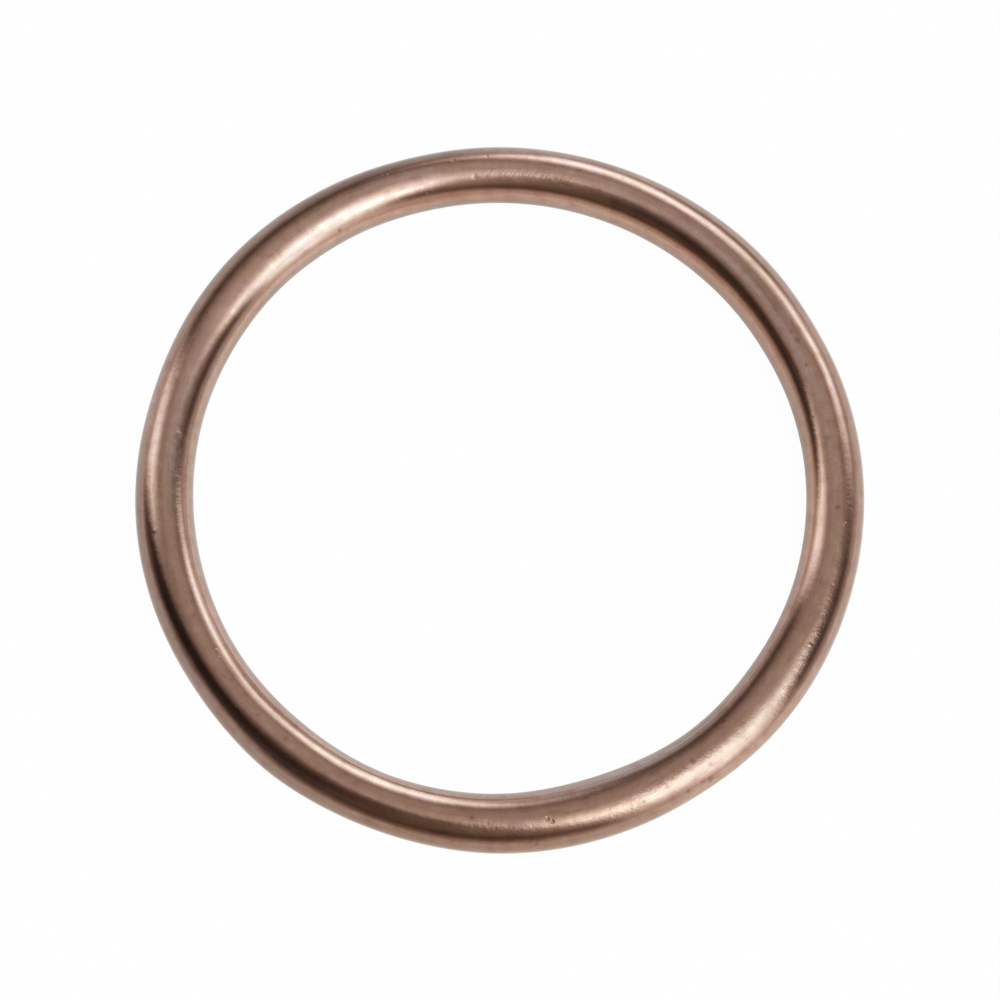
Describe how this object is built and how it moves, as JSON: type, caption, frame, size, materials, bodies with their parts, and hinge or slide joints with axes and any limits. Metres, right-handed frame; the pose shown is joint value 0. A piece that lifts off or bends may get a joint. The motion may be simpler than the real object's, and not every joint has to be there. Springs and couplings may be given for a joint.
{
  "type": "exhaust gasket",
  "caption": "Crush ring of rolled copper sheet with a rounded section, which seals an exhaust pipe's flange against a cylinder head's port.",
  "frame": {"origin": "centre of the ring, in the plane of the lower sealing seat on which it lies", "axes": "+Z along the ring's axis, from the lower seat to the upper one; +X and +Y lie in the plane of the lower seat"},
  "size_m": [0.05, 0.05, 0.0036],
  "materials": {
    "copper": null
  },
  "bodies": {
    "root": {"gasket_ring": "copper"}
  },
  "joints": []
}
